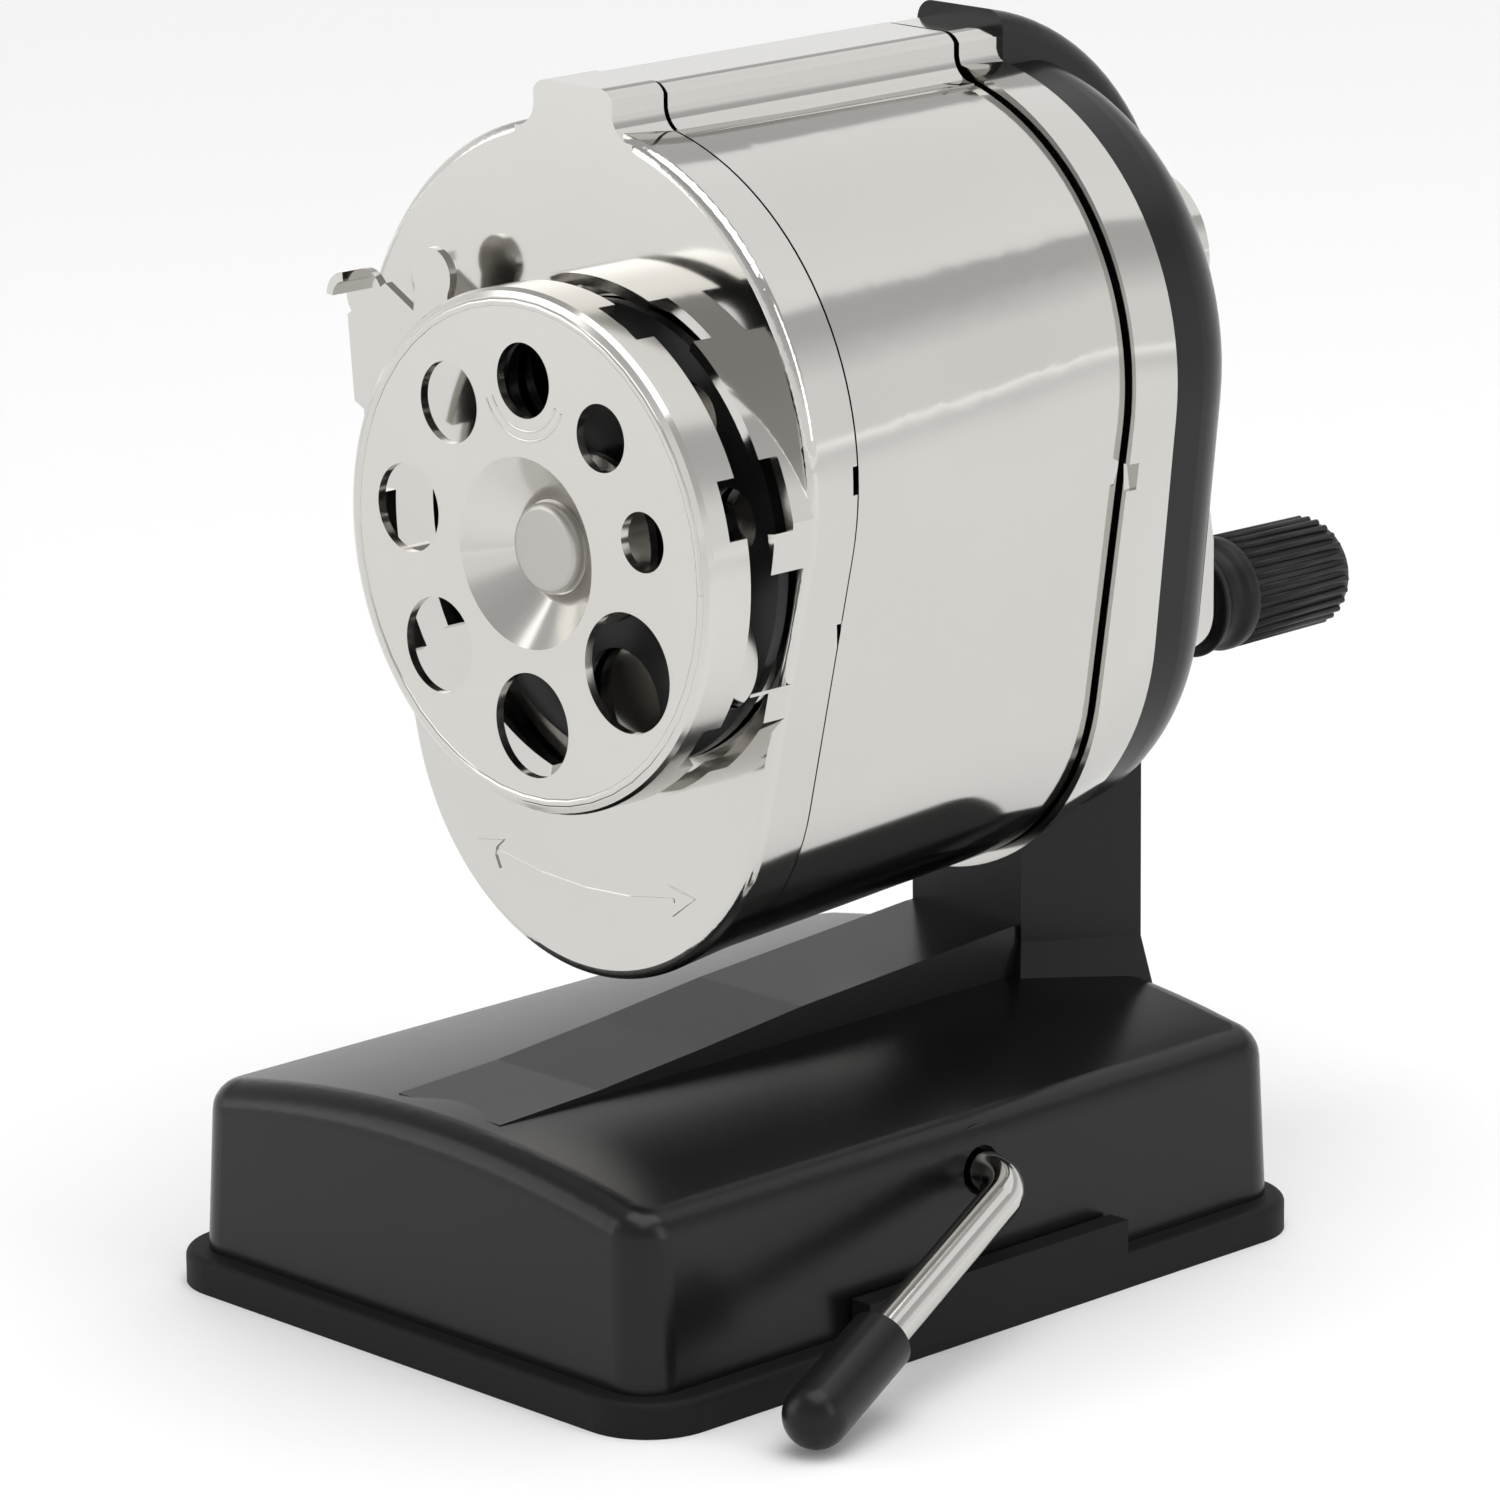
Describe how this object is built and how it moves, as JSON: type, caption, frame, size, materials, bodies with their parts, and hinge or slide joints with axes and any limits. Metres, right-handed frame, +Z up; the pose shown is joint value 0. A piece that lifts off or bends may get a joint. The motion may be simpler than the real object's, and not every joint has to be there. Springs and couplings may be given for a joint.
{
  "type": "crank pencil sharpener",
  "caption": "Hand-crank pencil sharpener with a chrome drum and multi-hole dial on a black stand, held down by a suction pad with a side lock lever.",
  "frame": {"origin": "centre of the suction pad's underside, on the table", "axes": "+Z up, +Y toward the crank, +X toward the lock lever"},
  "size_m": [0.0942, 0.144, 0.1337],
  "materials": {
    "black_moulding": "satin",
    "black_rubber": "matt",
    "bright_chrome": "polished",
    "tool_steel": "ground",
    "zinc_steel": "plated",
    "grey_gear": "matt",
    "bronze": "satin",
    "black_vinyl": "satin"
  },
  "bodies": {
    "stand": {"stand_housing": "black_moulding", "suction_pad": "black_rubber", "pad_retainer": "zinc_steel", "retainer_screws": "zinc_steel", "retaining_ring": "bright_chrome", "ring_gear": "tool_steel", "gear_screws": "zinc_steel", "shaft_bush": "bronze"},
    "receptacle": {"front_cover": "bright_chrome", "drum_shell": "bright_chrome", "stop_stud": "bright_chrome"},
    "dial": {"dial_cup": "bright_chrome", "guide_disc": "black_moulding", "dial_spacer": "zinc_steel", "dial_rivet": "bright_chrome"},
    "selector": {"selector_lever": "bright_chrome"},
    "crank": {"crank_shaft": "zinc_steel", "crank_arm": "bright_chrome", "hub_cap": "bright_chrome", "cutter_carrier": "zinc_steel", "cutter_pin_left": "zinc_steel", "cutter_pin_right": "zinc_steel", "knob_pin": "zinc_steel", "knob_washer": "zinc_steel"},
    "knob": {"crank_knob": "black_vinyl"},
    "left_cutter": {"cutter_left": "tool_steel"},
    "right_cutter": {"cutter_right": "tool_steel"},
    "lock_lever": {"lever_rod": "bright_chrome", "lever_cap": "black_vinyl", "lift_cam": "zinc_steel", "lever_clip": "zinc_steel"},
    "plunger": {"pull_disc": "black_rubber", "plunger_yoke": "zinc_steel", "follower_pin": "zinc_steel", "return_spring_front": "zinc_steel", "return_spring_rear": "zinc_steel"}
  },
  "joints": [
    {"name": "receptacle_slide", "type": "slide", "parent": "stand", "child": "receptacle", "axis": [0, -1, 0], "range_m": [0, 0.06]},
    {"name": "dial_turn", "type": "hinge", "parent": "receptacle", "child": "dial", "pos_m": [0.0075, -0.03, 0.0862], "axis": [0, 1, 0], "continuous": true},
    {"name": "selector_turn", "type": "hinge", "parent": "receptacle", "child": "selector", "pos_m": [0.0075, -0.0267, 0.0862], "axis": [0, -1, 0], "range_deg": [0, 20]},
    {"name": "crank_turn", "type": "hinge", "parent": "stand", "child": "crank", "pos_m": [0, 0.05, 0.1025], "axis": [0, 1, 0], "continuous": true},
    {"name": "knob_spin", "type": "hinge", "parent": "crank", "child": "knob", "pos_m": [0, 0.08, 0.0608], "axis": [0, 1, 0], "continuous": true},
    {"name": "left_cutter_spin", "type": "hinge", "parent": "crank", "child": "left_cutter", "pos_m": [0, 0.06536, 0.1025], "axis": [0.1736, 0.9848, 0], "continuous": true},
    {"name": "right_cutter_spin", "type": "hinge", "parent": "crank", "child": "right_cutter", "pos_m": [0, 0.06536, 0.1025], "axis": [-0.1736, 0.9848, 0], "continuous": true},
    {"name": "lever_lift", "type": "hinge", "parent": "stand", "child": "lock_lever", "pos_m": [0.03, 0.0018, 0.017], "axis": [-1, 0, 0], "range_deg": [0, 108]},
    {"name": "plunger_drop", "type": "slide", "parent": "stand", "child": "plunger", "axis": [0, 0, -1], "range_m": [0, 0.0024], "deforming": ["return_spring_front", "return_spring_rear"]}
  ],
  "couplings": [
    {"joint": "left_cutter_spin", "follows": "crank_turn", "ratio": -2.1667},
    {"joint": "right_cutter_spin", "follows": "crank_turn", "ratio": -2.1667},
    {"joint": "plunger_drop", "follows": "lever_lift", "m_per_rad": 0.0012732}
  ]
}
